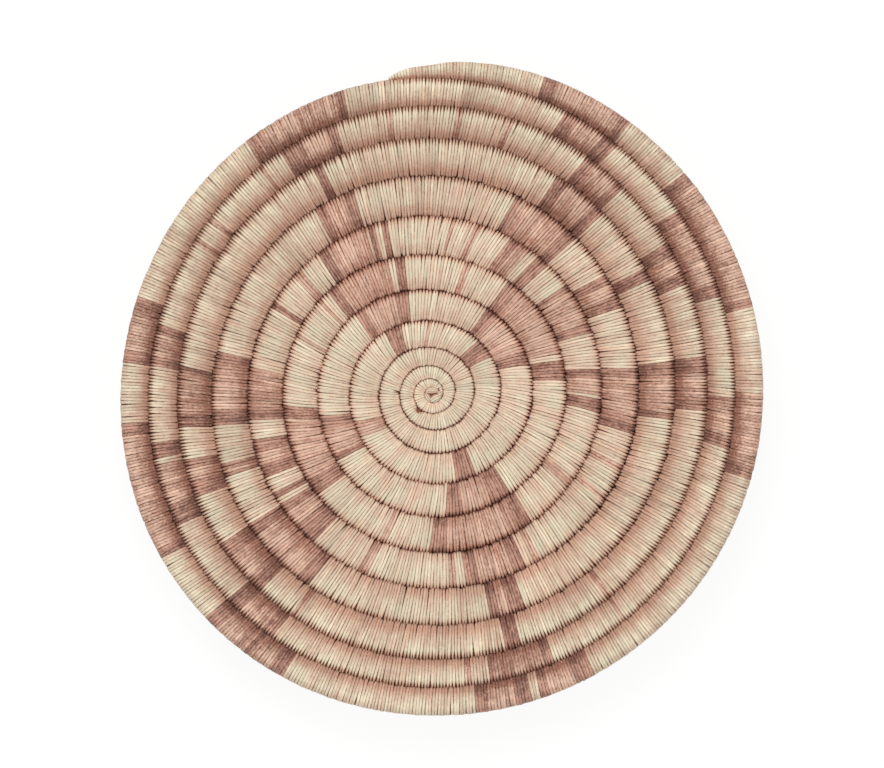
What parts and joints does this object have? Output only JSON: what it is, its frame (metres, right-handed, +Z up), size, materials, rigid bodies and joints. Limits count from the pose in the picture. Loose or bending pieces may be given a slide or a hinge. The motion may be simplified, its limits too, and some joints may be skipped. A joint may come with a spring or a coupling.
{
  "type": "coiled basketry plaque",
  "caption": "Round shallow tray of one spiral grass coil, sewn with natural and dyed plant splints in a stepped banded pattern, with a tapered coil end at the rim.",
  "frame": {"origin": "under the centre of the start knot, on the flat underside that the tray rests on", "axes": "+Z up out of the hollow face, along the tray's own axis; +X towards the side where each row of the coil is counted from; the coil grows counter-clockwise seen from +Z"},
  "size_m": [0.2988, 0.303, 0.0402],
  "materials": {
    "natural_splint": "dry split leaf fibre, cream with a faint sheen",
    "dyed_splint": "dry split leaf fibre, dyed reddish brown and dark brown",
    "grass_bundle": "dry grass stems, matte"
  },
  "bodies": {
    "root": {"grass_bundle": "grass_bundle", "rim_end_binding": "natural_splint", "row_01_natural_splints_a": "natural_splint", "row_03_natural_splints_a": "natural_splint", "row_04_dyed_splints_a": "dyed_splint", "row_04_dyed_splints_b": "dyed_splint", "row_04_dyed_splints_c": "dyed_splint", "row_04_natural_splints_a": "natural_splint", "row_04_natural_splints_b": "natural_splint", "row_04_natural_splints_c": "natural_splint", "row_05_dyed_splints_a": "dyed_splint", "row_05_dyed_splints_b": "dyed_splint", "row_05_dyed_splints_c": "dyed_splint", "row_05_dyed_splints_d": "dyed_splint", "row_05_natural_splints_a": "natural_splint", "row_05_natural_splints_b": "natural_splint", "row_05_natural_splints_c": "natural_splint", "row_05_natural_splints_d": "natural_splint", "row_06_dyed_splints_a": "dyed_splint", "row_06_dyed_splints_b": "dyed_splint", "row_06_dyed_splints_c": "dyed_splint", "row_06_natural_splints_a": "natural_splint", "row_06_natural_splints_b": "natural_splint", "row_06_natural_splints_c": "natural_splint", "row_07_dyed_splints_a": "dyed_splint", "row_07_dyed_splints_b": "dyed_splint", "row_07_dyed_splints_c": "dyed_splint", "row_07_natural_splints_a": "natural_splint", "row_07_natural_splints_b": "natural_splint", "row_08_dyed_splints_a": "dyed_splint", "row_08_dyed_splints_b": "dyed_splint", "row_08_natural_splints_a": "natural_splint", "row_08_natural_splints_b": "natural_splint", "row_08_natural_splints_c": "natural_splint", "row_08_natural_splints_d": "natural_splint", "row_08_natural_splints_e": "natural_splint", "row_09_dyed_splints_a": "dyed_splint", "row_09_dyed_splints_b": "dyed_splint", "row_09_dyed_splints_c": "dyed_splint", "row_09_dyed_splints_d": "dyed_splint", "row_09_natural_splints_a": "natural_splint", "row_09_natural_splints_b": "natural_splint", "row_09_natural_splints_c": "natural_splint", "row_09_natural_splints_d": "natural_splint", "row_10_dyed_splints_a": "dyed_splint", "row_10_dyed_splints_b": "dyed_splint", "row_10_dyed_splints_c": "dyed_splint", "row_10_dyed_splints_d": "dyed_splint", "row_10_dyed_splints_e": "dyed_splint", "row_10_natural_splints_a": "natural_splint", "row_10_natural_splints_b": "natural_splint", "row_10_natural_splints_c": "natural_splint", "row_10_natural_splints_d": "natural_splint", "row_10_natural_splints_e": "natural_splint", "row_11_dyed_splints_a": "dyed_splint", "row_11_natural_splints_a": "natural_splint", "start_curl": "natural_splint", "start_knot": "natural_splint"}
  },
  "joints": []
}
